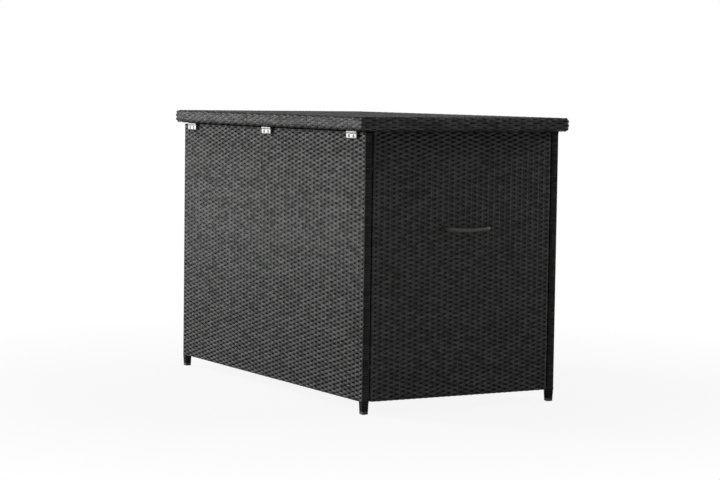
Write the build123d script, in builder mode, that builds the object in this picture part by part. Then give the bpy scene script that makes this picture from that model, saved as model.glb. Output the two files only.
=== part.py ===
"""Woven deck storage box: tube-framed panels, three butt hinges, a lid on two gas struts.

Millimetres, +Z up. The origin is on the ground under the middle of the box.
The front opens towards -Y, the hinges are on the +Y side, and left is -X.
"""

import os
from math import atan2, cos, degrees, hypot, radians, sin

from build123d import *

# Overall sizes
box_length = 1130.0  # over the corner posts, along X
box_width = 625.0  # over the corner posts, along Y
total_height = 800.0  # ground to the top of the lid
lid_overhang = 24.0  # lid edge beyond the posts, all round
lid_gap = 8.0  # daylight between the panels and the lid
ground_clearance = 35.0  # ground to the lower edge of the panels

# Frame tube and woven skin
tube = 16.0  # side of the square steel tube
tube_wall = 1.4
tube_corner = 2.0  # outer corner radius of the tube
weave = 3.0  # thickness of the woven skin
skin_corner = 3.5  # radius of the skin where it turns round a post
panel_gap = 4.0  # slot between an end panel and each post

# Lid
lid_corner = 14.0  # plan radius of the lid's corners
lid_edge = 10.0  # radius of the lid's upper and lower edges
rim_tube_round = 7.5  # corner radius of the flat-oval rim tube
rail_inset = 14.5  # middle of the inner rail, inside the box's outer face
cross_bar_count = 4
cross_bar_pitch = 280.0
lid_angle = 85.0  # full opening, degrees

# Floor
floor_bar_count = 4
floor_bar_pitch = 226.0
floor_sheet = 4.0
floor_clearance = 2.0

# Feet
foot_height = 8.0  # plastic foot that shows below the wrapped leg
foot_side = 17.0
foot_chamfer = 1.5
plug_length = 14.0
plug_clearance = 0.2

# Butt hinges
hinge_width = 55.0
hinge_inset = 68.0  # outer hinges, from the end of the box to the hinge's middle
leaf = 2.0  # thickness of a hinge leaf
leaf_drop = 22.0  # lower leaf, below the top of the rear panel
leaf_reach = 30.0  # upper leaf, forward of the pin
leaf_corner = 3.0
knuckle_radius = 4.0
knuckle_middle = 19.0  # length of the lid's knuckle
knuckle_gap = 0.5
leaf_relief = 1.0  # clear of the other leaf's knuckles
lid_running_gap = 0.5  # lower knuckles clear of the lid's underside
pin_radius = 2.0
pin_clearance = 0.05
screw_radius = 1.8
screw_head_radius = 3.6
screw_length = 12.0
screw_pitch = 30.0
screw_clearance = 0.15

# Corner bolts between the end panels and the posts
bolt_radius = 3.0
bolt_head_radius = 5.0
bolt_head_height = 4.0
bolt_clearance = 0.2
bolt_end = 6.0  # thread beyond the post's wall
bolt_from_edge = 90.0  # from the panel's upper and lower edges
spacer_radius = 6.0

# Carry handles
handle_below_top = 257.0  # bar's ends, below the top of the panel
handle_span = 138.0
handle_reach = 30.0
handle_bow = 4.0  # extra reach at the middle of the bar
handle_sag = 5.0
handle_radius = 4.3
handle_bend = 14.0
handle_arch = 300.0  # radius at the middle of the bar
handle_stud_radius = 3.0
handle_stud_clearance = 0.2
handle_nut_radius = 5.6  # across corners, halved
handle_nut_height = 5.0
handle_washer_radius = 6.5
handle_washer = 1.2
stud_tip = 2.0  # thread beyond the nut

# Rubber bumpers under the lid
bumper_radius = 7.0
bumper_clearance = 0.3
bumper_from_end = 100.0  # front bumpers, from the ends of the box
bumper_side_y = -150.0  # side bumpers

# Gas struts
strut_box_forward = 85.0  # lower pivot, forward of the hinge pins
strut_lid_forward = 75.0  # upper pivot, forward of the hinge pins
strut_lid_drop = 26.0  # upper pivot, below the lid's underside
strut_inset = 16.0  # strut's middle, from the end frame's inner face
strut_eye_radius = 7.0
strut_eye_width = 12.0
strut_neck = 20.0  # pivot to the end of the cylinder or rod
strut_neck_radius = 4.0
strut_socket_radius = 5.0  # shank of the rod's end fitting
strut_cylinder_radius = 7.5
strut_cylinder_bore = 6.0
strut_cylinder_back = 8.0
strut_guide = 12.0  # length of the rod guide at the cylinder's mouth
strut_rod_radius = 3.0
strut_rod_clearance = 0.05
strut_rod_exposed = 28.0  # bright rod that shows with the lid shut
strut_piston_radius = 5.6
strut_piston = 6.0
strut_piston_gap = 3.0  # piston to the guide with the lid fully open
strut_stud_radius = 4.0
strut_stud_clearance = 0.05
strut_stud_tip = 2.0
strut_plate = 2.0
strut_plate_side = 24.0
strut_open_gap = 0.3  # upper eye to the lid's boss
strut_boss_radius = 5.0
strut_tab_side = 18.0
strut_flange = 24.0

# Derived places
panel = tube + 2 * weave
half_x = box_length / 2
half_y = box_width / 2
post_x = half_x - weave - tube / 2
post_y = half_y - weave - tube / 2
lid_height = 2 * tube + 2 * weave
lid_under = total_height - lid_height
panel_top = lid_under - lid_gap
panel_height = panel_top - ground_clearance
panel_middle = (panel_top + ground_clearance) / 2
frame_top = panel_top - weave
frame_bottom = ground_clearance + weave
end_length = box_width - 2 * (panel + panel_gap)
stile_y = end_length / 2 - weave - tube / 2
frame_inner_x = half_x - weave - tube
handle_z = panel_top - handle_below_top
lid_x = half_x + lid_overhang
lid_y = half_y + lid_overhang
rail_x = half_x - rail_inset
rail_y = half_y - rail_inset
pin_y = half_y + knuckle_radius
pin_z = lid_under - knuckle_radius - lid_running_gap
hinge_places = (-(half_x - hinge_inset), 0.0, half_x - hinge_inset)
bolt_heights = (frame_bottom + bolt_from_edge, frame_top - bolt_from_edge)
sides = (("left", -1), ("right", 1))

pieces = []


def tube_piece(label, plane, length, width=tube, depth=tube, corner=tube_corner, bores=()):
    """A length of steel tube drawn on a plane, with round holes at the given planes."""
    with BuildPart() as bar:
        with BuildSketch(plane):
            RectangleRounded(width, depth, corner)
            RectangleRounded(
                width - 2 * tube_wall, depth - 2 * tube_wall, corner - tube_wall, mode=Mode.SUBTRACT
            )
        extrude(amount=length)
        for hole_plane, radius, depth_both in bores:
            with Locations(hole_plane.location):
                Cylinder(radius, depth_both, mode=Mode.SUBTRACT)
    bar.part.label = label
    pieces.append(bar.part)


def along_x(x, y, z):
    """Plane facing +X, with its own X along Y."""
    return Plane(origin=(x, y, z), x_dir=(0, 1, 0), z_dir=(1, 0, 0))


def along_y(x, y, z):
    """Plane facing +Y, with its own X along X."""
    return Plane(origin=(x, y, z), x_dir=(1, 0, 0), z_dir=(0, 1, 0))


def along_z(x, y, z):
    """Plane facing +Z."""
    return Plane(origin=(x, y, z))


# Front and rear panel frames: two posts that run down into the feet, two rails and an upright.
screw_spots = [x + step * screw_pitch / 2 for x in hinge_places for step in (-1, 1)]
rail_span = 2 * (post_x - tube / 2)
for name, side in (("front", -1), ("rear", 1)):
    for hand, end in sides:
        post_bores = [
            (along_y(end * post_x, side * (post_y - tube / 2), z), bolt_radius + bolt_clearance, tube)
            for z in bolt_heights
        ]
        tube_piece(
            f"{name}_{hand}_post",
            along_z(end * post_x, side * post_y, foot_height),
            frame_top - foot_height,
            bores=post_bores,
        )
    rail_bores = []
    if name == "rear":
        rail_bores = [
            (along_y(x, half_y - weave, frame_top - tube / 2), screw_radius + screw_clearance, tube)
            for x in screw_spots
        ]
    tube_piece(
        f"{name}_top_rail",
        along_x(-rail_span / 2, side * post_y, frame_top - tube / 2),
        rail_span,
        bores=rail_bores,
    )
    tube_piece(
        f"{name}_bottom_rail",
        along_x(-rail_span / 2, side * post_y, frame_bottom + tube / 2),
        rail_span,
    )
    tube_piece(
        f"{name}_upright",
        along_z(0, side * post_y, frame_bottom + tube),
        frame_top - frame_bottom - 2 * tube,
    )

# End panel frames: two stiles bolted to the posts, and three rails between them.
stile_span = 2 * (stile_y - tube / 2)
for hand, end in sides:
    with BuildPart() as stiles:
        with BuildSketch(Plane.XY.offset(frame_bottom)):
            with Locations((end * post_x, -stile_y), (end * post_x, stile_y)):
                RectangleRounded(tube, tube, tube_corner)
                RectangleRounded(
                    tube - 2 * tube_wall,
                    tube - 2 * tube_wall,
                    tube_corner - tube_wall,
                    mode=Mode.SUBTRACT,
                )
        extrude(amount=frame_top - frame_bottom)
        for z in bolt_heights:
            with Locations(along_y(end * post_x, 0, z).location):
                Cylinder(bolt_radius + bolt_clearance, end_length, mode=Mode.SUBTRACT)
    stiles.part.label = f"{hand}_end_stiles"
    pieces.append(stiles.part)
    stud_bores = [
        (along_x(end * post_x, y, handle_z), handle_stud_radius + handle_stud_clearance, 2 * tube)
        for y in (-handle_span / 2, handle_span / 2)
    ]
    for rail, z, bores in (
        ("top_rail", frame_top - tube / 2, ()),
        ("handle_rail", handle_z, stud_bores),
        ("bottom_rail", frame_bottom + tube / 2, ()),
    ):
        tube_piece(
            f"{hand}_end_{rail}", along_y(end * post_x, -stile_span / 2, z), stile_span, bores=bores
        )

# Floor: cross bars that lie on the front and rear bottom rails, and a woven sheet on them.
floor_z = frame_bottom + tube
with BuildPart() as floor_bars:
    with BuildSketch(along_y(0, -(half_y - weave - screw_clearance), floor_z + tube / 2)):
        with GridLocations(floor_bar_pitch, 0, floor_bar_count, 1):
            RectangleRounded(tube, tube, tube_corner)
            RectangleRounded(
                tube - 2 * tube_wall, tube - 2 * tube_wall, tube_corner - tube_wall, mode=Mode.SUBTRACT
            )
    extrude(amount=2 * (half_y - weave - screw_clearance))
floor_bars.part.label = "floor_bars"
pieces.append(floor_bars.part)

with BuildPart() as floor_weave:
    with BuildSketch(Plane.XY.offset(floor_z + tube)):
        Rectangle(
            2 * (half_x - panel - floor_clearance), 2 * (half_y - panel - floor_clearance)
        )
    extrude(amount=floor_sheet)
floor_weave.part.label = "floor_weave"
pieces.append(floor_weave.part)

# Front and rear skins: woven over the frame, round both posts, and down the legs as sleeves.
for name, side in (("front", -1), ("rear", 1)):
    with BuildPart() as skin:
        with BuildSketch(Plane.XY.offset(ground_clearance)):
            with Locations((0, side * post_y)):
                RectangleRounded(box_length, panel, skin_corner)
        extrude(amount=panel_height)
        with BuildSketch(Plane.XY.offset(foot_height)):
            with Locations((-post_x, side * post_y), (post_x, side * post_y)):
                RectangleRounded(panel, panel, skin_corner)
        extrude(amount=ground_clearance - foot_height)
        with Locations((0, side * post_y, panel_middle)):
            Box(box_length - 2 * weave, tube, panel_height - 2 * weave, mode=Mode.SUBTRACT)
        with Locations((0, side * (post_y - tube / 2 - weave / 2), panel_middle)):
            Box(box_length - 2 * panel, weave, panel_height - 2 * weave, mode=Mode.SUBTRACT)
        with BuildSketch(Plane.XY.offset(foot_height)):
            with Locations((-post_x, side * post_y), (post_x, side * post_y)):
                Rectangle(tube, tube)
        extrude(amount=frame_bottom - foot_height, mode=Mode.SUBTRACT)
        for end in (-1, 1):
            for z in bolt_heights:
                with Locations(along_y(end * post_x, side * (post_y - tube / 2 - weave / 2), z).location):
                    Cylinder(bolt_radius + bolt_clearance, 2 * weave, mode=Mode.SUBTRACT)
        if name == "rear":
            for x in screw_spots:
                with Locations(along_y(x, half_y - weave / 2, frame_top - tube / 2).location):
                    Cylinder(screw_radius + screw_clearance, 2 * weave, mode=Mode.SUBTRACT)
    skin.part.label = f"{name}_weave"
    pieces.append(skin.part)

# End skins: woven over the end frames, between the posts.
for hand, end in sides:
    with BuildPart() as skin:
        with BuildSketch(Plane.XY.offset(ground_clearance)):
            with Locations((end * post_x, 0)):
                RectangleRounded(panel, end_length, skin_corner)
        extrude(amount=panel_height)
        with Locations((end * post_x, 0, panel_middle)):
            Box(tube, end_length - 2 * weave, panel_height - 2 * weave, mode=Mode.SUBTRACT)
        with Locations((end * (post_x - tube / 2 - weave / 2), 0, panel_middle)):
            Box(weave, end_length - 2 * panel, panel_height - 2 * weave, mode=Mode.SUBTRACT)
        for z in bolt_heights:
            with Locations(along_y(end * post_x, 0, z).location):
                Cylinder(bolt_radius + bolt_clearance, 2 * end_length, mode=Mode.SUBTRACT)
        for y in (-handle_span / 2, handle_span / 2):
            with Locations(along_x(end * (half_x - weave / 2), y, handle_z).location):
                Cylinder(handle_stud_radius + handle_stud_clearance, 2 * weave, mode=Mode.SUBTRACT)
    skin.part.label = f"{hand}_end_weave"
    pieces.append(skin.part)

# Corner bolts and the spacers that keep the slot between each end panel and its posts.
bolt_head_y = stile_y - tube / 2
post_face_y = half_y - panel
bolt_tip_y = post_face_y + weave + tube_wall + bolt_end
with BuildPart() as corner_bolts:
    for side in (-1, 1):
        for end in (-1, 1):
            for z in bolt_heights:
                head = Plane(origin=(end * post_x, side * bolt_head_y, z), z_dir=(0, side, 0))
                with BuildSketch(head):
                    Circle(bolt_radius)
                extrude(amount=bolt_tip_y - bolt_head_y)
                with BuildSketch(head):
                    Circle(bolt_head_radius)
                extrude(amount=-bolt_head_height)
corner_bolts.part.label = "corner_bolts"
pieces.append(corner_bolts.part)

with BuildPart() as corner_spacers:
    for side in (-1, 1):
        for end in (-1, 1):
            for z in bolt_heights:
                seat = Plane(origin=(end * post_x, side * end_length / 2, z), z_dir=(0, side, 0))
                with BuildSketch(seat):
                    Circle(spacer_radius)
                    Circle(bolt_radius + bolt_clearance, mode=Mode.SUBTRACT)
                extrude(amount=panel_gap)
corner_spacers.part.label = "corner_spacers"
pieces.append(corner_spacers.part)

# Feet: a chamfered pad under each post with a plug up the tube.
with BuildPart() as foot_caps:
    for side in (-1, 1):
        for end in (-1, 1):
            with BuildSketch(Plane.XY):
                with Locations((end * post_x, side * post_y)):
                    Rectangle(foot_side, foot_side)
            extrude(amount=foot_height)
    chamfer(foot_caps.edges().group_by(Axis.Z)[0], foot_chamfer)
    with BuildSketch(Plane.XY.offset(foot_height)):
        with GridLocations(2 * post_x, 2 * post_y, 2, 2):
            RectangleRounded(
                tube - 2 * (tube_wall + plug_clearance), tube - 2 * (tube_wall + plug_clearance), 1
            )
    extrude(amount=plug_length)
foot_caps.part.label = "foot_caps"
pieces.append(foot_caps.part)

# Carry handles: a bowed bar out of the end panel, its studs through the handle rail.
stud_length = weave + tube + handle_washer + handle_nut_height + stud_tip
for hand, end in sides:
    with BuildPart() as handle:
        with BuildLine() as bow:
            FilletPolyline(
                (end * half_x, -handle_span / 2, handle_z),
                (end * (half_x + handle_reach), -handle_span / 2, handle_z),
                (end * (half_x + handle_reach + handle_bow), 0, handle_z - handle_sag),
                (end * (half_x + handle_reach), handle_span / 2, handle_z),
                (end * half_x, handle_span / 2, handle_z),
                radius=[handle_bend, handle_arch, handle_bend],
            )
        with BuildSketch(Plane(origin=bow.line @ 0, z_dir=bow.line % 0)):
            Circle(handle_radius)
        sweep()
        for y in (-handle_span / 2, handle_span / 2):
            with BuildSketch(Plane(origin=(end * half_x, y, handle_z), z_dir=(-end, 0, 0))):
                Circle(handle_stud_radius)
            extrude(amount=stud_length)
    handle.part.label = f"{hand}_handle"
    pieces.append(handle.part)

with BuildPart() as handle_nuts:
    for hand, end in sides:
        for y in (-handle_span / 2, handle_span / 2):
            seat = Plane(origin=(end * frame_inner_x, y, handle_z), z_dir=(-end, 0, 0))
            with BuildSketch(seat):
                Circle(handle_washer_radius)
                Circle(handle_stud_radius + handle_stud_clearance, mode=Mode.SUBTRACT)
            extrude(amount=handle_washer)
            with BuildSketch(seat.offset(handle_washer)):
                RegularPolygon(handle_nut_radius, 6)
                Circle(handle_stud_radius + handle_stud_clearance, mode=Mode.SUBTRACT)
            extrude(amount=handle_nut_height)
handle_nuts.part.label = "handle_nuts"
pieces.append(handle_nuts.part)

# Lid frame: a rim of flat-oval tube, inner rails over the panels, and cross bars under the top.
rim_y = lid_y - weave - tube / 2
rim_x = lid_x - weave - tube / 2
rim_z = lid_under + weave + tube
rim_reach = lid_x - lid_corner
for name, side in (("front", -1), ("rear", 1)):
    tube_piece(
        f"lid_{name}_rim",
        along_x(-rim_reach, side * rim_y, rim_z),
        2 * rim_reach,
        tube,
        2 * tube,
        rim_tube_round,
    )
    rail_bores = []
    if name == "rear":
        rail_bores = [
            (along_z(x, rail_y, lid_under + weave), screw_radius + screw_clearance, tube)
            for x in screw_spots
        ]
    tube_piece(
        f"lid_{name}_rail",
        along_x(-(rim_x - tube / 2), side * rail_y, lid_under + weave + tube / 2),
        2 * (rim_x - tube / 2),
        bores=rail_bores,
    )
for hand, end in sides:
    tube_piece(
        f"lid_{hand}_rim",
        along_y(end * rim_x, -(rim_y - tube / 2), rim_z),
        2 * (rim_y - tube / 2),
        tube,
        2 * tube,
        rim_tube_round,
    )
    tube_piece(
        f"lid_{hand}_rail",
        along_y(end * rail_x, -(rail_y - tube / 2), lid_under + weave + tube / 2),
        2 * (rail_y - tube / 2),
    )

with BuildPart() as lid_cross_bars:
    with BuildSketch(along_y(0, -(rim_y - tube / 2), lid_under + weave + 1.5 * tube)):
        with GridLocations(cross_bar_pitch, 0, cross_bar_count, 1):
            RectangleRounded(tube, tube, tube_corner)
            RectangleRounded(
                tube - 2 * tube_wall, tube - 2 * tube_wall, tube_corner - tube_wall, mode=Mode.SUBTRACT
            )
    extrude(amount=2 * (rim_y - tube / 2))
lid_cross_bars.part.label = "lid_cross_bars"
pieces.append(lid_cross_bars.part)

# Lid skin: woven over the top, round the rim and back under it to the inner rails.
with BuildPart() as lid_hollow:
    with BuildSketch(Plane.XY.offset(lid_under + weave)):
        RectangleRounded(2 * (lid_x - weave), 2 * (lid_y - weave), lid_corner - weave)
    extrude(amount=2 * tube)
    fillet(
        lid_hollow.edges().group_by(Axis.Z)[0] + lid_hollow.edges().group_by(Axis.Z)[-1],
        lid_edge - weave,
    )

with BuildPart() as lid_weave:
    with BuildSketch(Plane.XY.offset(lid_under)):
        RectangleRounded(2 * lid_x, 2 * lid_y, lid_corner)
    extrude(amount=lid_height)
    fillet(
        lid_weave.edges().group_by(Axis.Z)[0] + lid_weave.edges().group_by(Axis.Z)[-1], lid_edge
    )
    add(lid_hollow.part, mode=Mode.SUBTRACT)
    with BuildSketch(Plane.XY.offset(lid_under)):
        Rectangle(2 * rail_x - tube, 2 * rail_y - tube)
    extrude(amount=weave, mode=Mode.SUBTRACT)
    for x in screw_spots:
        with Locations((x, rail_y, lid_under + weave / 2)):
            Cylinder(screw_radius + screw_clearance, 2 * weave, mode=Mode.SUBTRACT)
lid_weave.part.label = "lid_weave"
pieces.append(lid_weave.part)

# Bumpers: four rubber pads under the lid, over the front panel and the end panels.
bumper_places = [
    (-(half_x - bumper_from_end), -post_y),
    (half_x - bumper_from_end, -post_y),
    (-post_x, bumper_side_y),
    (post_x, bumper_side_y),
]
with BuildPart() as lid_bumpers:
    with BuildSketch(Plane.XY.offset(lid_under)):
        with Locations(*bumper_places):
            Circle(bumper_radius)
    extrude(amount=-(lid_gap - bumper_clearance))
    chamfer(lid_bumpers.edges().group_by(Axis.Z)[0], bumper_radius / 5)
lid_bumpers.part.label = "lid_bumpers"
pieces.append(lid_bumpers.part)

# Butt hinges: the lower leaf on the rear panel carries two knuckles and the pin,
# the upper leaf runs forward in the gap under the lid and carries the middle knuckle.
leaf_bottom = panel_top - leaf_drop
outer_start = knuckle_middle / 2 + knuckle_gap
lower_screw_z = frame_top - tube / 2
for name, x in zip(("left", "middle", "right"), hinge_places):
    with BuildPart() as lower_leaf:
        with BuildSketch(along_x(x - hinge_width / 2, 0, 0)):
            with Locations((half_y + leaf / 2, (leaf_bottom + pin_z) / 2)):
                Rectangle(leaf, pin_z - leaf_bottom)
            with Locations((pin_y, pin_z)):
                Circle(knuckle_radius)
        extrude(amount=hinge_width)
        with Locations((x, pin_y, pin_z)):
            Box(
                2 * outer_start,
                2 * (knuckle_radius + leaf_relief),
                2 * (knuckle_radius + leaf_relief),
                mode=Mode.SUBTRACT,
            )
        with Locations(along_x(x, pin_y, pin_z).location):
            Cylinder(pin_radius + pin_clearance, hinge_width, mode=Mode.SUBTRACT)
        for step in (-1, 1):
            face = Plane(
                origin=(x + step * screw_pitch / 2, half_y + leaf, lower_screw_z), z_dir=(0, 1, 0)
            )
            with Locations(face.location):
                CounterSinkHole(screw_radius + screw_clearance, screw_head_radius + screw_clearance)
        fillet(lower_leaf.edges().filter_by(Axis.Y).group_by(Axis.Z)[0], leaf_corner)
    lower_leaf.part.label = f"hinge_{name}_lower_leaf"
    pieces.append(lower_leaf.part)

    with BuildPart() as upper_leaf:
        with BuildSketch(along_x(x - hinge_width / 2, 0, 0)):
            with Locations((pin_y - leaf_reach / 2, lid_under - leaf / 2)):
                Rectangle(leaf_reach, leaf)
            with Locations((pin_y, pin_z)):
                Circle(knuckle_radius)
        extrude(amount=hinge_width)
        outer_length = hinge_width / 2 - knuckle_middle / 2
        for step in (-1, 1):
            with Locations((x + step * (knuckle_middle / 2 + outer_length / 2), pin_y, pin_z)):
                Box(
                    outer_length,
                    2 * (knuckle_radius + leaf_relief),
                    2 * (knuckle_radius + leaf_relief),
                    mode=Mode.SUBTRACT,
                )
        with Locations(along_x(x, pin_y, pin_z).location):
            Cylinder(pin_radius + pin_clearance, hinge_width, mode=Mode.SUBTRACT)
        for step in (-1, 1):
            face = Plane(
                origin=(x + step * screw_pitch / 2, rail_y, lid_under - leaf), z_dir=(0, 0, -1)
            )
            with Locations(face.location):
                CounterSinkHole(screw_radius + screw_clearance, screw_head_radius + screw_clearance)
        fillet(upper_leaf.edges().filter_by(Axis.Z).group_by(Axis.Y)[0], leaf_corner)
    upper_leaf.part.label = f"hinge_{name}_upper_leaf"
    pieces.append(upper_leaf.part)

with BuildPart() as hinge_pins:
    for x in hinge_places:
        with BuildSketch(along_x(x - hinge_width / 2, pin_y, pin_z)):
            Circle(pin_radius)
        extrude(amount=hinge_width)
hinge_pins.part.label = "hinge_pins"
pieces.append(hinge_pins.part)


def screw_profile(plane):
    """Half section of a countersunk screw, its head level with the plane."""
    head_depth = screw_head_radius - screw_radius
    with BuildSketch(plane) as half:
        with BuildLine():
            Polyline(
                (0, 0),
                (screw_head_radius, 0),
                (screw_radius, -head_depth),
                (screw_radius, -screw_length),
                (0, -screw_length),
                close=True,
            )
        make_face()
    return half.sketch


with BuildPart() as hinge_box_screws:
    for x in screw_spots:
        spot = Plane(origin=(x, half_y + leaf, lower_screw_z), x_dir=(1, 0, 0), z_dir=(0, 0, 1))
        add(screw_profile(spot))
        revolve(axis=Axis((x, half_y + leaf, lower_screw_z), (0, 1, 0)))
hinge_box_screws.part.label = "hinge_box_screws"
pieces.append(hinge_box_screws.part)

with BuildPart() as hinge_lid_screws:
    for x in screw_spots:
        spot = Plane(origin=(x, rail_y, lid_under - leaf), x_dir=(1, 0, 0), z_dir=(0, 1, 0))
        add(screw_profile(spot))
        revolve(axis=Axis((x, rail_y, lid_under - leaf), (0, 0, 1)))
hinge_lid_screws.part.label = "hinge_lid_screws"
pieces.append(hinge_lid_screws.part)

# Gas struts: the cylinder turns on a stud on the handle rail, the rod's eye meets the lid bracket.
box_pivot_y = pin_y - strut_box_forward
box_pivot_z = handle_z
lid_pivot_y = pin_y - strut_lid_forward
lid_pivot_z = lid_under - strut_lid_drop
swing = radians(lid_angle)
open_y = pin_y - strut_lid_forward * cos(swing) + (lid_pivot_z - pin_z) * sin(swing)
open_z = pin_z + strut_lid_forward * sin(swing) + (lid_pivot_z - pin_z) * cos(swing)
shut_length = hypot(lid_pivot_y - box_pivot_y, lid_pivot_z - box_pivot_z)
open_length = hypot(open_y - box_pivot_y, open_z - box_pivot_z)
shut_lean = atan2(lid_pivot_y - box_pivot_y, lid_pivot_z - box_pivot_z)
open_lean = atan2(open_y - box_pivot_y, open_z - box_pivot_z)
stroke = open_length - shut_length
mouth = shut_length - strut_neck - strut_rod_exposed
piston_start = mouth - strut_guide - strut_piston_gap - strut_piston - stroke
print(f"strut shut {shut_length:.3f} open {open_length:.3f} stroke {stroke:.3f}")
print(f"strut lean {degrees(shut_lean):.4f} to {degrees(open_lean):.4f} deg, piston {piston_start:.2f}")
print(f"strut pivot y {box_pivot_y:.3f} z {box_pivot_z:.3f}, lid y {lid_pivot_y:.3f} z {lid_pivot_z:.3f}")
print(f"hinge pin y {pin_y:.3f} z {pin_z:.3f}, ratio {(open_lean - shut_lean) / swing:.6f}")
print(f"slide ratio {stroke / 1000 / swing:.8f} m per rad")

for hand, end in sides:
    strut_x = end * (frame_inner_x - strut_inset)
    along = (0, sin(shut_lean), cos(shut_lean))
    strut_plane = Plane(origin=(strut_x, box_pivot_y, box_pivot_z), x_dir=(1, 0, 0), z_dir=along)

    with BuildPart() as cylinder:
        with BuildSketch(strut_plane):
            Circle(strut_neck_radius)
        extrude(amount=strut_neck)
        with BuildSketch(strut_plane.offset(strut_neck)):
            Circle(strut_cylinder_radius)
        extrude(amount=mouth - strut_neck)
        with BuildSketch(strut_plane.offset(strut_neck + strut_cylinder_back)):
            Circle(strut_cylinder_bore)
        extrude(
            amount=mouth - strut_guide - strut_neck - strut_cylinder_back, mode=Mode.SUBTRACT
        )
        with BuildSketch(strut_plane.offset(mouth - strut_guide)):
            Circle(strut_rod_radius + strut_rod_clearance)
        extrude(amount=strut_guide, mode=Mode.SUBTRACT)
        with BuildSketch(along_x(strut_x - strut_eye_width / 2, box_pivot_y, box_pivot_z)):
            Circle(strut_eye_radius)
        extrude(amount=strut_eye_width)
        with BuildSketch(along_x(strut_x - strut_eye_width, box_pivot_y, box_pivot_z)):
            Circle(strut_stud_radius + strut_stud_clearance)
        extrude(amount=2 * strut_eye_width, mode=Mode.SUBTRACT)
    cylinder.part.label = f"{hand}_strut_cylinder"
    pieces.append(cylinder.part)

    with BuildPart() as rod:
        with BuildSketch(strut_plane.offset(piston_start)):
            Circle(strut_piston_radius)
        extrude(amount=strut_piston)
        with BuildSketch(strut_plane.offset(piston_start + strut_piston)):
            Circle(strut_rod_radius)
        extrude(amount=shut_length - strut_neck - piston_start - strut_piston)
        with BuildSketch(strut_plane.offset(shut_length - strut_neck)):
            Circle(strut_socket_radius)
        extrude(amount=strut_neck)
        with BuildSketch(along_x(strut_x - strut_eye_width / 2, lid_pivot_y, lid_pivot_z)):
            Circle(strut_eye_radius)
        extrude(amount=strut_eye_width)
    rod.part.label = f"{hand}_strut_rod"
    pieces.append(rod.part)

with BuildPart() as strut_box_brackets:
    for hand, end in sides:
        seat = Plane(
            origin=(end * frame_inner_x, box_pivot_y, box_pivot_z), x_dir=(0, 1, 0), z_dir=(-end, 0, 0)
        )
        with BuildSketch(seat):
            RectangleRounded(strut_plate_side, tube, tube_corner)
        extrude(amount=strut_plate)
        with BuildSketch(seat.offset(strut_plate)):
            Circle(strut_stud_radius)
        extrude(amount=strut_inset + strut_eye_width / 2 + strut_stud_tip - strut_plate)
strut_box_brackets.part.label = "strut_box_brackets"
pieces.append(strut_box_brackets.part)

tab_x = frame_inner_x - strut_inset + strut_eye_width / 2 + strut_plate
with BuildPart() as strut_lid_brackets:
    for hand, end in sides:
        with BuildSketch(along_x(end * (tab_x + strut_plate / 2) - strut_plate / 2, lid_pivot_y, 0)):
            with Locations((0, (lid_under + lid_pivot_z) / 2)):
                Rectangle(strut_tab_side, lid_under - lid_pivot_z)
            with Locations((0, lid_pivot_z)):
                Circle(strut_tab_side / 2)
        extrude(amount=strut_plate)
        with BuildSketch(Plane.XY.offset(lid_under)):
            with Locations((end * (tab_x + strut_flange / 2), lid_pivot_y)):
                Rectangle(strut_flange, strut_tab_side)
        extrude(amount=-strut_plate)
        with BuildSketch(Plane(origin=(end * tab_x, lid_pivot_y, lid_pivot_z), z_dir=(-end, 0, 0))):
            Circle(strut_boss_radius)
        extrude(amount=strut_plate - strut_open_gap)
strut_lid_brackets.part.label = "strut_lid_brackets"
pieces.append(strut_lid_brackets.part)

os.makedirs("parts", exist_ok=True)
for piece in pieces:
    export_step(piece, f"parts/{piece.label}.step")
print(len(pieces), "pieces")
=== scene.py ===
import math
import random

import bpy
from mathutils import Matrix, Vector


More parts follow.
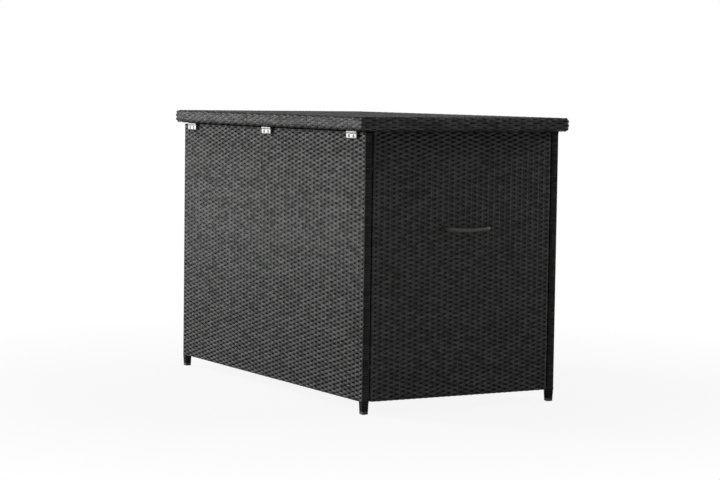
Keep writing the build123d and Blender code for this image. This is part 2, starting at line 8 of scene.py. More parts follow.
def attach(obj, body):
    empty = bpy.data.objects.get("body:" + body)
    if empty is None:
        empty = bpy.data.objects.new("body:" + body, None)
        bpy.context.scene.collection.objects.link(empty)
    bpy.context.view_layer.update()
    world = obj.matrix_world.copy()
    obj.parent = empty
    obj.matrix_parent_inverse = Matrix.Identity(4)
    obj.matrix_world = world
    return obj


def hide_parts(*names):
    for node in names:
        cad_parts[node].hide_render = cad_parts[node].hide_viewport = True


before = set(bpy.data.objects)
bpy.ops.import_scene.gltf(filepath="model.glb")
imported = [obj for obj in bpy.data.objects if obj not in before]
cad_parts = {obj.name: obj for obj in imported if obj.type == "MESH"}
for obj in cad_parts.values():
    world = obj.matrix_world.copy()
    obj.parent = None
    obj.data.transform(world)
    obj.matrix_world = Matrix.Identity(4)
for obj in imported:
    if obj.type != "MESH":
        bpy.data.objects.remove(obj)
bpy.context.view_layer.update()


# ---------------------------------------------------------------------------
# Steel frame: posts, rails, uprights, stiles, floor bars and the lid's rim, rails and cross
# bars. Square and flat-oval steel tube, welded into panels and powder coated a satin black.
# ---------------------------------------------------------------------------
class Shade:
    """A shader socket that takes part in plain arithmetic."""

    def __init__(self, tree, socket=None):
        self.tree, self.socket = tree, socket

    def add(self, kind, settings=None, sockets=None, output=0):
        """Any node: its type, its settings, and the values or links of its sockets."""
        node = self.tree.nodes.new("ShaderNode" + kind)
        for name, value in (settings or {}).items():
            setattr(node, name, value)
        for name, value in (sockets or {}).items():
            if isinstance(value, Shade):
                self.tree.links.new(value.socket, node.inputs[name])
            else:
                node.inputs[name].default_value = value
        return Shade(self.tree, node.outputs[output] if node.outputs else None)

    def maths(self, operation, first, second):
        return self.add("Math", {"operation": operation}, {0: first, 1: second})

    def __add__(self, other):
        return self.maths("ADD", self, other)

    def __sub__(self, other):
        return self.maths("SUBTRACT", self, other)

    def __rsub__(self, other):
        return self.maths("SUBTRACT", other, self)

    def __mul__(self, other):
        return self.maths("MULTIPLY", self, other)

    __radd__, __rmul__ = __add__, __mul__

    def stretched(self, x, y, z):
        return self.add("Mapping", {}, {"Vector": self, "Scale": (x, y, z)})

    def noise(self, scale, detail):
        return self.add("TexNoise", {}, {"Vector": self, "Scale": scale, "Detail": detail}, "Fac")

    def band(self, low, high):
        """0 below low, 1 above high, smooth between."""
        return self.add("MapRange", {"interpolation_type": "SMOOTHSTEP"},
                        {"Value": self, "From Min": low, "From Max": high}, "Result")

    def between(self, dark, light):
        """A colour that goes from dark at 0 to light at 1."""
        return self.add("Mix", {"data_type": "RGBA"},
                        {0: self, 6: (*dark, 1), 7: (*light, 1)}, 2)

    def raised(self, depth, strength):
        return self.add("Bump", {}, {"Height": self, "Distance": depth, "Strength": strength},
                        "Normal")


def finish(name, same_all_over, varying):
    """A material: fixed values go on the shader's own sockets, what varies is linked."""
    material = bpy.data.materials.new(name)
    material.use_nodes = True
    tree = material.node_tree
    shader = tree.nodes["Principled BSDF"]
    for socket, value in same_all_over.items():
        shader.inputs[socket].default_value = value
    place = Shade(tree).add("TexCoord", output="Object")
    for socket, shade in varying(place).items():
        tree.links.new(shade.socket, shader.inputs[socket])
    return material


def dress(material, *names):
    """Gives CAD nodes their finish."""
    for name in names:
        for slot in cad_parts[name].material_slots:
            slot.material = material


def satin_black(place):
    peel = place.noise(1500, 2)
    dust = place.noise(35, 4).band(0.45, 0.75)
    return {
        "Base Color": dust.between((0.010, 0.010, 0.011), (0.017, 0.017, 0.018)),
        "Roughness": 0.36 + 0.12 * dust + 0.08 * peel,
        "Normal": peel.raised(0.00008, 0.5),
    }


powder_coat = finish("powder_coat", {"Specular IOR Level": 0.4}, satin_black)
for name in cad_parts:
    if name.endswith(("_rail", "_post", "_upright", "_stiles", "_rim", "_bars")):
        dress(powder_coat, name)


# ---------------------------------------------------------------------------
# Front and rear panels: flat PE rattan, dark grey, woven row over row round broad flat stakes.
# Each row runs across the panel, turns round both corner posts and ends on their inner sides.
# Short wraps of the same strand bind the top and bottom edges.
# ---------------------------------------------------------------------------
half_x, half_y = 0.565, 0.3125                     # middle of the box to a panel's outer face
panel_low, front_high, rear_high = 0.035, 0.7609, 0.7572
panel_depth, skin_corner = 0.022, 0.0035           # a corner post in its skin, and its rounding
row_pitch, row_tail = 0.0062, 0.010                # a row's height, and its end behind the post
row_shift, row_ease = 0.00022, 0.0002              # how far a hand-woven row strays up and inwards
face_depth, face_margin = 0.003, 0.006             # the part of a row that may stray inwards
strand_width, strand_wave, strand_crown, strand_spread = 0.0068, 0.0014, 0.0009, 0.20
post_margin, post_ramp = 0.004, 0.008              # where rows stop waving and lie on the post
pass_shade, edge_shade, corner_shade = 0.5, 0.18, 0.66   # painted shade between stakes, at the edges, on a post
long_gaps = 53                                     # gaps between stakes over a panel's length
wall_stake, stake_thick = 0.44, 0.0004             # half a stake's width as a share of a gap
# the last value is how much less painted shade a stake has at its edges than along its middle
stake_short, stake_margin, stake_shade_fade = 0.004, 0.008, 0.55
wrap_lap, wrap_columns = 0.003, 8                  # a wrap's ends over both faces of the edge
wrap_corner, wrap_drop, wrap_bulge = 0.0012, 0.0026, 0.0011
wrap_seat, wrap_crown = 0.0003, 0.0004
# painted shade on the edge wraps, deeper along their edges
wrap_shade, wrap_edge_shade = 0.2, 0.4
wall_cell, wall_pit_shade = (0.0213, 0.0185, row_pitch), 0.008   # one crossing, and the painted shade grey of its pits
chance = random.Random(7)


def rattan(cell, pit_shade):
    """Extruded strand: fine draw lines along it, a grey that differs from one crossing to the
    next, and a duller face with painted shade, darkening to the pit's grey, where it passes
    behind a stake."""

    def varying(place):
        hollow = place.add("Attribute", {"attribute_name": "hollow"}, output="Fac")
        lines = place.add("UVMap").stretched(140, 7, 1).noise(1.0, 3)
        spot = place.stretched(*[1 / size for size in cell])
        spot = spot.add("VectorMath", {"operation": "FLOOR"}, {0: spot})
        tone = spot.add("TexWhiteNoise", {"noise_dimensions": "3D"}, {"Vector": spot}, "Value")
        patch = place.noise(9, 3)
        # painted shade: where the point attribute is high, the colour goes down to the pit's grey
        # and the coat fades
        unshaded = 1 - hollow.band(0.42, 0.96)
        grey = unshaded * (0.33 + 0.24 * lines + 0.40 * tone + 0.18 * patch)
        return {
            "Base Color": grey.between((pit_shade, pit_shade, pit_shade), (0.088, 0.091, 0.087)),
            "Roughness": 0.42 + 0.20 * lines + 0.2 * hollow,
            "Coat Weight": unshaded * (0.07 + 0.22 * lines + 0.32 * tone),
            "Normal": lines.raised(0.00025, 0.7),
        }

    return varying


rattan_gloss = {"Specular IOR Level": 0.0, "Coat Roughness": 0.58}
rattan_walls = finish("rattan_walls", rattan_gloss, rattan(wall_cell, wall_pit_shade))


def choose(piece):
    """Selects one piece alone, for the next operator."""
    bpy.ops.object.select_all(action="DESELECT")
    piece.select_set(True)
    bpy.context.view_layer.objects.active = piece


def lay_strand(name, columns, length, width, place, across=3):
    """One strand: a flat ribbon of quads whose points are then laid along its run."""
    bpy.ops.object.select_all(action="DESELECT")
    bpy.ops.mesh.primitive_grid_add(x_subdivisions=columns, y_subdivisions=across, size=1)
    strand = bpy.context.object
    strand.name = strand.data.name = name
    bpy.ops.object.mode_set(mode="EDIT")
    bpy.ops.transform.resize(value=(length, width, 1))
    bpy.ops.object.mode_set(mode="OBJECT")
    laid = [place(point.co.x, point.co.y) for point in strand.data.vertices]
    # the fourth value laid for each point is its painted shade, kept as a point attribute for the
    # rattan's colour
    hollow = strand.data.attributes.new("hollow", "FLOAT", "POINT")
    for point, mark, (x, y, z, depth) in zip(strand.data.vertices, hollow.data, laid):
        point.co = x, y, z
        mark.value = depth
    return strand


def lay_row(name, length, gap, width, place, across=3):
    """A strand that passes stakes, with four columns of quads to each gap between them."""
    columns = 2 * round(length / gap * 2)
    return lay_strand(name, columns, columns * gap / 4, width, place, across)


def repeat(piece, count, step):
    """Copies a strand side by side."""
    choose(piece)
    bpy.ops.object.modifier_add(type="ARRAY")
    array = piece.modifiers[-1]
    array.use_relative_offset = False
    array.use_constant_offset = True
    array.constant_offset_displace = step
    array.count = count
    bpy.ops.object.modifier_apply(modifier=array.name)
    return piece


def gather(name, *pieces):
    """Joins strands into one woven piece."""
    bpy.ops.object.select_all(action="DESELECT")
    for piece in pieces:
        piece.select_set(True)
    bpy.context.view_layer.objects.active = pieces[0]
    bpy.ops.object.join()
    pieces[0].name = pieces[0].data.name = name
    return pieces[0]


def lay_stakes(length, half_width, gap, each_side, middle, upright):
    """Broad flat stakes side by side along X, standing in a wall or lying along Y."""
    bpy.ops.object.select_all(action="DESELECT")
    bpy.ops.mesh.primitive_cylinder_add(vertices=12, radius=half_width, depth=length)
    stake = bpy.context.object
    bpy.ops.object.mode_set(mode="EDIT")
    bpy.ops.mesh.select_all(action="SELECT")
    thin = stake_thick / half_width
    if upright:
        bpy.ops.transform.resize(value=(1, thin, 1))
    else:
        bpy.ops.transform.rotate(value=math.pi / 2, orient_axis="X", center_override=(0, 0, 0))
        bpy.ops.transform.resize(value=(1, 1, thin))
    bpy.ops.object.mode_set(mode="OBJECT")
    # painted shade: each stake is dark along its middle and lighter towards its edges
    hollow = stake.data.attributes.new("hollow", "FLOAT", "POINT")
    for point, mark in zip(stake.data.vertices, hollow.data):
        mark.value = 1 - stake_shade_fade * abs(point.co.x) / half_width
        point.co += Vector((-each_side * gap, *middle))
    return repeat(stake, 2 * each_side + 1, (gap, 0, 0))


def turned_copy(piece, name, axis, angle, centre=(0, 0, 0)):
    """A copy with its own mesh, turned about a point."""
    choose(piece)
    bpy.ops.object.duplicate()
    copy = bpy.context.object
    copy.name = copy.data.name = name
    place = Matrix.Translation(centre)
    copy.data.transform(place @ Matrix.Rotation(angle, 4, axis) @ place.inverted())
    return copy


def finished(piece, body, slot, material, *nodes):
    """Shades a piece, gives it its finish, and sets it on its body."""
    choose(piece)
    bpy.ops.object.shade_smooth()
    piece.data.materials.clear()
    piece.data.materials.append(material)
    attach(piece, body)
    if nodes:
        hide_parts(*nodes)


def round_posts(run, half):
    """Where a row is after a run from the panel's middle: along, depth behind the face, facing."""
    side, run = math.copysign(1, run), abs(run)
    bend = skin_corner * math.pi / 2
    face, edge = half - skin_corner, panel_depth - 2 * skin_corner
    if run <= face:
        return side * run, 0.0, 0.0, 1.0
    run -= face
    if run <= bend:
        turn = run / skin_corner
        return (side * (face + skin_corner * math.sin(turn)), skin_corner * (math.cos(turn) - 1),
                side * math.sin(turn), math.cos(turn))
    run -= bend
    if run <= edge:
        return side * half, -skin_corner - run, side, 0.0
    run -= edge
    if run <= bend:
        turn = run / skin_corner
        return (side * (face + skin_corner * math.cos(turn)),
                -panel_depth + skin_corner * (1 - math.sin(turn)),
                side * math.cos(turn), -math.sin(turn))
    return side * (face - (run - bend)), -panel_depth, 0.0, -1.0


def wave(run, gap, row):
    """1 where a strand passes in front of a stake, -1 where it passes behind."""
    return math.cos(math.pi * (run / gap + row))


def bow(sway):
    """Which way a strand is crowned: outwards in front of a stake, inwards behind it."""
    return max(-1.0, min(1.0, 2 * sway))


def to_edge(across, width=strand_width):
    """0 along the middle of a strand, 1 along its edges."""
    return (2 * across / width) ** 2


def woven_panel(name, half, face, gap, panel_high, post_dull):
    """Two rows that pass the stakes by turns, repeated up the panel, with stakes and wraps."""
    panel_middle = (panel_low + panel_high) / 2
    row_count = 2 * round((panel_high - panel_low) / row_pitch / 2)
    step = (panel_high - panel_low) / row_count
    posts = half - post_margin

    def row(number):
        level = panel_low + (number + 0.5) * step

        def place(run, across):
            loose = min(1.0, max(0.0, (posts - abs(run)) / post_ramp))
            along, depth, out_along, out = round_posts(run, half)
            sway, edge = wave(run, gap, number), to_edge(across)
            crown = strand_crown * (1 - loose + loose * bow(sway))
            set_back = strand_wave * loose * (1 - sway) + crown * edge
            spread = across * (1 + strand_spread * loose * abs(sway))
            dull = (pass_shade * loose * (1 - abs(sway)) + post_dull * (1 - loose)
                    + edge_shade * edge)
            return (along - out_along * set_back, -(face + depth - out * set_back),
                    level + spread, dull)

        length = 2 * (half + panel_depth + row_tail)
        return lay_row(f"row_{number}", length, gap, strand_width, place)

    rows = repeat(gather("rows", row(0), row(1)), row_count // 2, (0, 0, 2 * step))
    row_points = len(rows.data.vertices) // row_count
    for number in range(row_count):
        lift, ease = chance.uniform(-row_shift, row_shift), chance.uniform(0, row_ease)
        first = number * row_points
        for point in rows.data.vertices[first:first + row_points]:
            point.co.z += lift
            if -point.co.y > face - face_depth and abs(point.co.x) < half - face_margin:
                point.co.y += ease

    each_side = int((half - stake_margin) / gap)
    stakes = lay_stakes(panel_high - panel_low - stake_short, wall_stake * gap, gap, each_side,
                        (strand_wave - face, panel_middle), upright=True)

    wraps = round(2 * half / row_pitch)
    wrap_pitch = 2 * half / wraps

    def over(run, across):
        flat = panel_depth / 2 - wrap_corner
        reach = min(flat, max(-flat, run))
        drop = min(wrap_drop, abs(run) - abs(reach))
        edge = to_edge(across)
        x = -half + wrap_pitch / 2 - across
        y = -(face - panel_depth / 2) + reach + math.copysign(min(drop, wrap_bulge), run)
        rise = panel_high - wrap_seat - drop - wrap_crown * edge
        # the fourth value is painted shade, deeper along the wrap's edges
        return (x, y, rise, wrap_shade + wrap_edge_shade * edge)

    wrap = lay_strand("wrap", wrap_columns, panel_depth + wrap_lap, strand_width, over)
    top = repeat(wrap, wraps, (wrap_pitch, 0, 0))
    foot = turned_copy(top, "foot", "Y", math.pi, (0, 0, panel_middle))
    return gather(name, rows, stakes, top, foot)


long_gap = 2 * half_x / long_gaps
front = woven_panel("front_rattan", half_x, half_y, long_gap, front_high, corner_shade)
rear_turned = woven_panel("rear_turned", half_x, half_y, long_gap, rear_high, corner_shade)
rear = turned_copy(rear_turned, "rear_rattan", "Z", math.pi)
bpy.data.objects.remove(rear_turned)
finished(front, "box", "rattan", rattan_walls, "front_weave")
finished(rear, "box", "rattan", rattan_walls, "rear_weave")


# ---------------------------------------------------------------------------
# End panels: the same rattan on a frame of their own, set between the posts with a narrow slot
# each side. Their rows turn round the end frame's stiles.
# ---------------------------------------------------------------------------
end_half, end_high, end_gaps = 0.2865, 0.7602, 31
# painted shade on the rows round the stiles, and the painted shade grey of the end panels' pits
stile_shade, end_pit_shade = 0.3, 0.022
end_turned = woven_panel("end_turned", end_half, half_x, 2 * end_half / end_gaps, end_high,
                         stile_shade)
left = turned_copy(end_turned, "left_end_rattan", "Z", -math.pi / 2)
right = turned_copy(end_turned, "right_end_rattan", "Z", math.pi / 2)
bpy.data.objects.remove(end_turned)
rattan_ends = finish("rattan_ends", rattan_gloss, rattan(wall_cell, end_pit_shade))
finished(left, "box", "rattan", rattan_ends, "left_end_weave")
finished(right, "box", "rattan", rattan_ends, "right_end_weave")


# ---------------------------------------------------------------------------
# Legs: below the panels each post is wound with the same strand down to its plastic foot,
# a little slimmer towards the bottom.
# ---------------------------------------------------------------------------
leg_low, leg_high, leg_turns = 0.008, 0.035, 4
leg_half, leg_slim = 0.011, 0.12
leg_x, leg_y = 0.554, 0.3015
leg_columns, leg_cover = 32, 0.96
# painted shade on the leg wraps, deeper along each turn's edges
leg_shade, leg_edge_shade = 0.68, 0.24


def round_box(run, a, b, corner):
    """Round a box with round corners, from the middle of its front: place and facing."""
    bend = corner * math.pi / 2
    flat_a, flat_b = a - corner, b - corner
    stretches = [flat_a, 2 * flat_b, 2 * flat_a, 2 * flat_b, flat_a]
    corners = [(flat_a, -flat_b), (flat_a, flat_b), (-flat_a, flat_b), (-flat_a, -flat_b)]
    starts = [(0, -b), (a, -flat_b), (flat_a, b), (-a, flat_b), (-flat_a, -b)]
    for side, length in enumerate(stretches):
        turn = side * math.pi / 2
        if run <= length or side == len(corners):
            x, y = starts[side]
            return (x + run * math.cos(turn), y + run * math.sin(turn),
                    math.sin(turn), -math.cos(turn))
        run -= length
        if run <= bend:
            x, y = corners[side]
            turn += run / corner
            return (x + corner * math.sin(turn), y - corner * math.cos(turn),
                    math.sin(turn), -math.cos(turn))
        run -= bend


def leg_turn(number):
    pitch = (leg_high - leg_low) / leg_turns
    round_leg = 8 * (leg_half - skin_corner) + 2 * math.pi * skin_corner

    def place(run, across):
        x, y, out_x, out_y = round_box(run + round_leg / 2, leg_half, leg_half, skin_corner)
        edge = to_edge(across, pitch)
        set_back = strand_crown * edge
        level = leg_low + (number + 0.5) * pitch + across
        slim = 1 - leg_slim * (leg_high - level) / (leg_high - leg_low)
        # the fourth value is painted shade
        return ((x - out_x * set_back) * slim - leg_x, (y - out_y * set_back) * slim - leg_y,
                level, leg_shade + leg_edge_shade * edge)

    return lay_strand(f"turn_{number}", leg_columns, round_leg, pitch * leg_cover, place)


leg = gather("leg", *[leg_turn(number) for number in range(leg_turns)])
legs = repeat(repeat(leg, 2, (2 * leg_x, 0, 0)), 2, (0, 2 * leg_y, 0))
legs.name = legs.data.name = "leg_wraps"
finished(legs, "box", "rattan", rattan_walls)


# ---------------------------------------------------------------------------
# Feet: moulded black plastic plugs with a fine grain, scuffed where they stand, pressed into
# the posts.
# ---------------------------------------------------------------------------
def moulded(place):
    grain = place.noise(2600, 2)
    scuff = place.noise(160, 5).band(0.5, 0.8)
    return {
        "Base Color": scuff.between((0.014, 0.014, 0.014), (0.034, 0.034, 0.033)),
        "Roughness": 0.48 + 0.18 * scuff,
        "Normal": grain.raised(0.00006, 0.5),
    }


dress(finish("moulded_plastic", {"Specular IOR Level": 0.35}, moulded), "foot_caps")


# ---------------------------------------------------------------------------
# Floor: a sheet of the same rattan in wider strands, on stakes that stand further apart than
# in the walls, laid over the floor bars.
# ---------------------------------------------------------------------------
floor_x, floor_y, floor_top = 0.541, 0.2885, 0.0738
floor_rows, floor_gap, floor_side_stakes = 64, 0.0281, 19
floor_pitch = 2 * floor_y / floor_rows
floor_strand, floor_wave, floor_spread = 0.0083, 0.0009, 0.08
floor_crown, floor_crown_width = 0.0005, 0.0084
flat_stake, floor_stake_short = 0.485, 0.002
flat_cell = (0.0207, 0.00616, 0.023)


def floor_row(number):
    level = -floor_y + (number + 0.5) * floor_pitch

    def place(run, across):
        sway = wave(run, floor_gap, number)
        crown = floor_crown * bow(sway) * to_edge(across, floor_crown_width)
        x = max(-floor_x, min(floor_x, run))
        spread = across * (1 + floor_spread * abs(sway))
        # the fourth value is painted shade between stakes
        return (x, level + spread, floor_top - (floor_wave * (1 - sway) + crown),
                pass_shade * (1 - abs(sway)))

    return lay_row(f"floor_{number}", 2 * floor_x, floor_gap, floor_strand, place, across=2)


rattan_flat = finish("rattan_flat", rattan_gloss, rattan(flat_cell, wall_pit_shade))
floor_sheet = repeat(gather("floor_sheet", floor_row(0), floor_row(1)), floor_rows // 2,
                     (0, 2 * floor_pitch, 0))
floor_stakes = lay_stakes(2 * floor_y - floor_stake_short, flat_stake * floor_gap, floor_gap,
                          floor_side_stakes, (0, floor_top - floor_wave), upright=False)
floor_rattan = gather("floor_rattan", floor_sheet, floor_stakes)
finished(floor_rattan, "box", "rattan", rattan_flat, "floor_weave")


# ---------------------------------------------------------------------------
# Fixings of the frame: zinc-plated bolts and nuts with machining lines, and nylon spacers that
# keep the end frames off the posts.
# ---------------------------------------------------------------------------
def plated(place):
    turned = place.noise(2200, 2)
    # duller patches of the zinc plate
    dull = place.noise(120, 4).band(0.4, 0.75)
    return {
        "Base Color": dull.between((0.60, 0.60, 0.58), (0.42, 0.42, 0.41)),
        "Roughness": 0.26 + 0.22 * dull,
        "Normal": turned.raised(0.00004, 0.5),
    }


def nylon(place):
    cloud = place.noise(90, 3)
    return {
        "Base Color": cloud.between((0.030, 0.030, 0.031), (0.050, 0.050, 0.050)),
        "Roughness": 0.42 + 0.16 * cloud,
        "Normal": place.noise(2000, 2).raised(0.00005, 0.5),
    }


dress(finish("zinc_plate", {"Metallic": 1.0}, plated), "corner_bolts", "handle_nuts")
dress(finish("nylon", {}, nylon), "corner_spacers")


# ---------------------------------------------------------------------------
# Handles: a bowed steel rod at each end, wound closely with a slim strand and bolted through
# the end frame's handle rail.
# ---------------------------------------------------------------------------
handle_grip, handle_corner, handle_stem = 0.055, 0.014, 0.016   # from its middle to the rail
handle_out, handle_bow, corner_ease = 0.0306, 0.0024, 0.0006
handle_level, handle_dip, handle_half = 0.497, 0.005, 0.069
handle_radius, handle_turns, turn_columns = 0.00448, 52, 12
winding_length, winding_half, look_ahead = 2.0, 0.0185, 0.004   # in halves of the rod
winding_share, winding_crown = 0.99, 0.00016


def handle_line(part):
    """The rod's middle line at a part from -1 to 1 along it, at the left end."""
    bend = handle_corner * math.pi / 2
    total = handle_grip + bend + handle_stem
    side, run = math.copysign(1, part), abs(part) * total
    if run <= handle_grip:
        out, along = handle_out + handle_bow * (1 - (run / handle_grip) ** 2), run
    elif run <= handle_grip + bend:
        turn = (run - handle_grip) / handle_corner
        out = handle_stem + (handle_corner + corner_ease) * math.cos(turn)
        along = handle_grip + handle_corner * math.sin(turn)
    else:
        out, along = handle_stem - (run - handle_grip - bend), handle_grip + handle_corner
    return Vector((-half_x - out, -side * along,
                   handle_level - handle_dip * (1 - (along / handle_half) ** 2)))


def handle_winding(run, across):
    """Round and round the rod, for a run from -1 to 1 along it."""
    part = run * winding_share + across
    here, ahead = handle_line(part), handle_line(part + look_ahead)
    line = (ahead - here).normalized()
    level = line.cross(Vector((0, 0, 1))).normalized()
    upright = level.cross(line)
    turn = -math.pi * handle_turns * run
    edge = to_edge(across, 2 * winding_half)
    radius = handle_radius - winding_crown * edge
    return (*(here + radius * (math.cos(turn) * level + math.sin(turn) * upright)), edge)


def worn_strand(place):
    lines = place.add("UVMap").stretched(300, 6, 1).noise(1.0, 3)
    rub = place.noise(60, 4).band(0.4, 0.7)
    grey = 0.6 * lines + 0.4 * rub
    return {
        "Base Color": grey.between((0.050, 0.049, 0.042), (0.100, 0.098, 0.084)),
        "Roughness": 0.36 + 0.2 * lines,
        "Normal": lines.raised(0.0002, 0.6),
    }


handle_strand = finish("handle_strand", {"Specular IOR Level": 0.4}, worn_strand)
dress(handle_strand, "left_handle", "right_handle")
left_winding = lay_strand("left_handle_winding", handle_turns * turn_columns, winding_length,
                          2 * winding_half, handle_winding)
right_winding = turned_copy(left_winding, "right_handle_winding", "Z", math.pi)
finished(left_winding, "box", "handle_wrap", handle_strand)
finished(right_winding, "box", "handle_wrap", handle_strand)


# ---------------------------------------------------------------------------
# Lid: rattan woven along the top, then in rows round the rim and back under its lip, over the
# lid's tube frame.
# ---------------------------------------------------------------------------
lid_x, lid_y, lid_low, lid_top = 0.589, 0.3365, 0.762, 0.800
lid_edge, lid_corner = 0.010, 0.014
top_rows, top_gaps, top_side_stakes = 106, 57, 27
top_tuck, top_shift = 0.001, 0.0002
top_pitch = 2 * (lid_y - lid_edge) / top_rows
top_gap = 2 * lid_x / top_gaps


def top_row(number):
    reach = lid_x - lid_edge + top_tuck
    level = -(lid_y - lid_edge) + (number + 0.5) * top_pitch

    def place(run, across):
        sway, edge = wave(run, top_gap, number), to_edge(across)
        drop = strand_wave * (1 - sway) + strand_crown * bow(sway) * edge
        x = max(-reach, min(reach, run))
        spread = across * (1 + strand_spread * abs(sway))
        # the fourth value is painted shade between stakes and along the strand's edges
        return (x, level + spread, lid_top - drop, pass_shade * (1 - abs(sway)) + edge_shade * edge)

    return lay_row(f"top_{number}", 2 * reach, top_gap, strand_width, place)


lid_rows = repeat(gather("top_rows", top_row(0), top_row(1)), top_rows // 2,
                  (0, 2 * top_pitch, 0))
row_points = len(lid_rows.data.vertices) // top_rows
for number in range(top_rows):
    shift = chance.uniform(-top_shift, top_shift)
    for point in lid_rows.data.vertices[number * row_points:(number + 1) * row_points]:
        point.co.y += shift
lid_stakes = lay_stakes(2 * (lid_y - lid_edge), flat_stake * top_gap, top_gap,
                        top_side_stakes, (0, lid_top - strand_wave), upright=False)
lid_top_rattan = gather("lid_top_rattan", lid_rows, lid_stakes)
finished(lid_top_rattan, "lid", "rattan", rattan_flat, "lid_weave")

rim_rows, rim_gap_about = 8, 0.0206
# the middle two values are painted shade where a rim row passes behind, and along its edges
rim_spread, rim_shade, rim_edge_shade, rim_weld = 0.24, 0.4, 0.08, 0.00005
round_lid = 4 * (lid_x + lid_y) - 8 * lid_corner + 2 * math.pi * lid_corner
rim_waves = 2 * round(round_lid / rim_gap_about / 2)
rim_gap = round_lid / rim_waves
edge_arc = lid_edge * math.pi / 2
rim_girth = 2 * edge_arc + lid_top - lid_low - 2 * lid_edge
rim_pitch = rim_girth / rim_rows


def rim_section(girth):
    """Down the lid's edge from its top: set-in, level, and how far the surface looks up."""
    flat = lid_top - lid_low - 2 * lid_edge
    if girth <= edge_arc:
        turn = math.pi / 2 - girth / lid_edge
        return lid_edge * (1 - math.cos(turn)), lid_top - lid_edge * (1 - math.sin(turn)), turn
    if girth <= edge_arc + flat:
        return 0.0, lid_top - lid_edge - (girth - edge_arc), 0.0
    turn = -(girth - edge_arc - flat) / lid_edge
    return lid_edge * (1 - math.cos(turn)), lid_low + lid_edge * (1 + math.sin(turn)), turn


def rim_row(number):
    def place(run, across):
        sway, edge = wave(run, rim_gap, number), to_edge(across)
        girth = (number + 0.5) * rim_pitch - across * (1 + rim_spread * sway)
        set_in, level, turn = rim_section(min(rim_girth, max(0, girth)))
        drop = strand_wave * (1 - sway) + strand_crown * edge
        x, y, out_x, out_y = round_box((run + round_lid) % round_lid, lid_x, lid_y, lid_corner)
        inward = set_in + drop * math.cos(turn)
        # the fourth value is painted shade where the row passes behind, and along its edges
        return (x - out_x * inward, y - out_y * inward, level - drop * math.sin(turn),
                rim_shade * (1 - sway) + rim_edge_shade * edge)

    return lay_strand(f"rim_{number}", rim_waves * 4, round_lid, strand_width, place)


rim = gather("lid_rim_rattan", *[rim_row(number) for number in range(rim_rows)])
bpy.ops.object.mode_set(mode="EDIT")
bpy.ops.mesh.select_all(action="SELECT")
bpy.ops.mesh.remove_doubles(threshold=rim_weld)
bpy.ops.object.mode_set(mode="OBJECT")
finished(rim, "lid", "rattan", rattan_walls)

lip_reach, lip_rows = 0.0365, 6
lip_sag, lip_wave, lip_spread = 0.0010, 0.8, 0.14
lip_pitch = lip_reach / lip_rows


def lip_strand(long_way, number):
    reach = lid_x - lid_edge if long_way else lid_y - lid_edge - lip_reach
    outside = lid_y - lid_edge if long_way else lid_x - lid_edge

    def place(run, across):
        sway, edge = wave(run, rim_gap, number), to_edge(across)
        rise = strand_wave * lip_wave * (1 - sway) + strand_crown * edge - lip_sag
        along = max(-reach, min(reach, run))
        inward = -(outside - (number + 0.5) * lip_pitch + across * (1 + lip_spread * sway))
        # painted shade where a lip row passes behind, and along its edges
        dull = (1 - sway) / 2 + edge_shade * edge
        if long_way:
            return (along, inward, lid_low + rise, dull)
        return (inward, -along, lid_low + rise, dull)

    return lay_row(f"lip_{number}", 2 * reach, rim_gap, strand_width, place)


lips = []
for long_way in (True, False):
    lip = gather("lip", *[lip_strand(long_way, number) for number in range(lip_rows)])
    lips += [lip, turned_copy(lip, "lip", "Z", math.pi)]
finished(gather("lid_lip_rattan", *lips), "lid", "rattan", rattan_flat)


# ---------------------------------------------------------------------------
# Bumpers: four soft black rubber pads under the lid, over the front panel and the end panels,
# glued on and slightly bloomed with age.
# ---------------------------------------------------------------------------
pad_radius, pad_edge, pad_gap = 0.007, 0.0004, 0.0002
pad_height = lid_low - front_high - pad_gap
pad_places = [(-0.465, -0.3015), (0.465, -0.3015), (-0.554, -0.150), (0.554, -0.150)]


def rubber(place):
    bloom = place.noise(140, 4)
    return {
        "Base Color": bloom.between((0.016, 0.016, 0.016), (0.040, 0.040, 0.039)),
        "Roughness": 0.66 + 0.2 * bloom,
        "Normal": place.noise(1800, 2).raised(0.00006, 0.4),
    }


def turned_bar(radius, length, sides):
    """A round bar along Z at the origin, to be shaped."""
    bpy.ops.object.select_all(action="DESELECT")
    bpy.ops.mesh.primitive_cylinder_add(vertices=sides, radius=radius, depth=length)
    return bpy.context.object


def round_edges(piece, width, chosen, segments=2):
    """Bevels the edges that are chosen by their two ends."""
    choose(piece)
    bpy.ops.object.mode_set(mode="EDIT")
    bpy.ops.mesh.select_mode(type="EDGE")
    bpy.ops.mesh.select_all(action="DESELECT")
    bpy.ops.object.mode_set(mode="OBJECT")
    points = piece.data.vertices
    for edge in piece.data.edges:
        edge.select = chosen(*(points[end].co for end in edge.vertices))
    bpy.ops.object.mode_set(mode="EDIT")
    bpy.ops.mesh.bevel(offset=width, segments=segments)
    bpy.ops.object.mode_set(mode="OBJECT")


pad = turned_bar(pad_radius, pad_height, sides=32)
round_edges(pad, pad_edge, lambda a, b: a.z < 0 and b.z < 0)
pads = []
for x, y in pad_places:
    pads.append(turned_copy(pad, "pad", "Z", 0.0))
    pads[-1].data.transform(Matrix.Translation((x, y, lid_low - pad_height / 2)))
bpy.data.objects.remove(pad)
finished(gather("lid_bumper_pads", *pads), "lid", "bumper_rubber",
         finish("rubber", {"Specular IOR Level": 0.3}, rubber), "lid_bumpers")


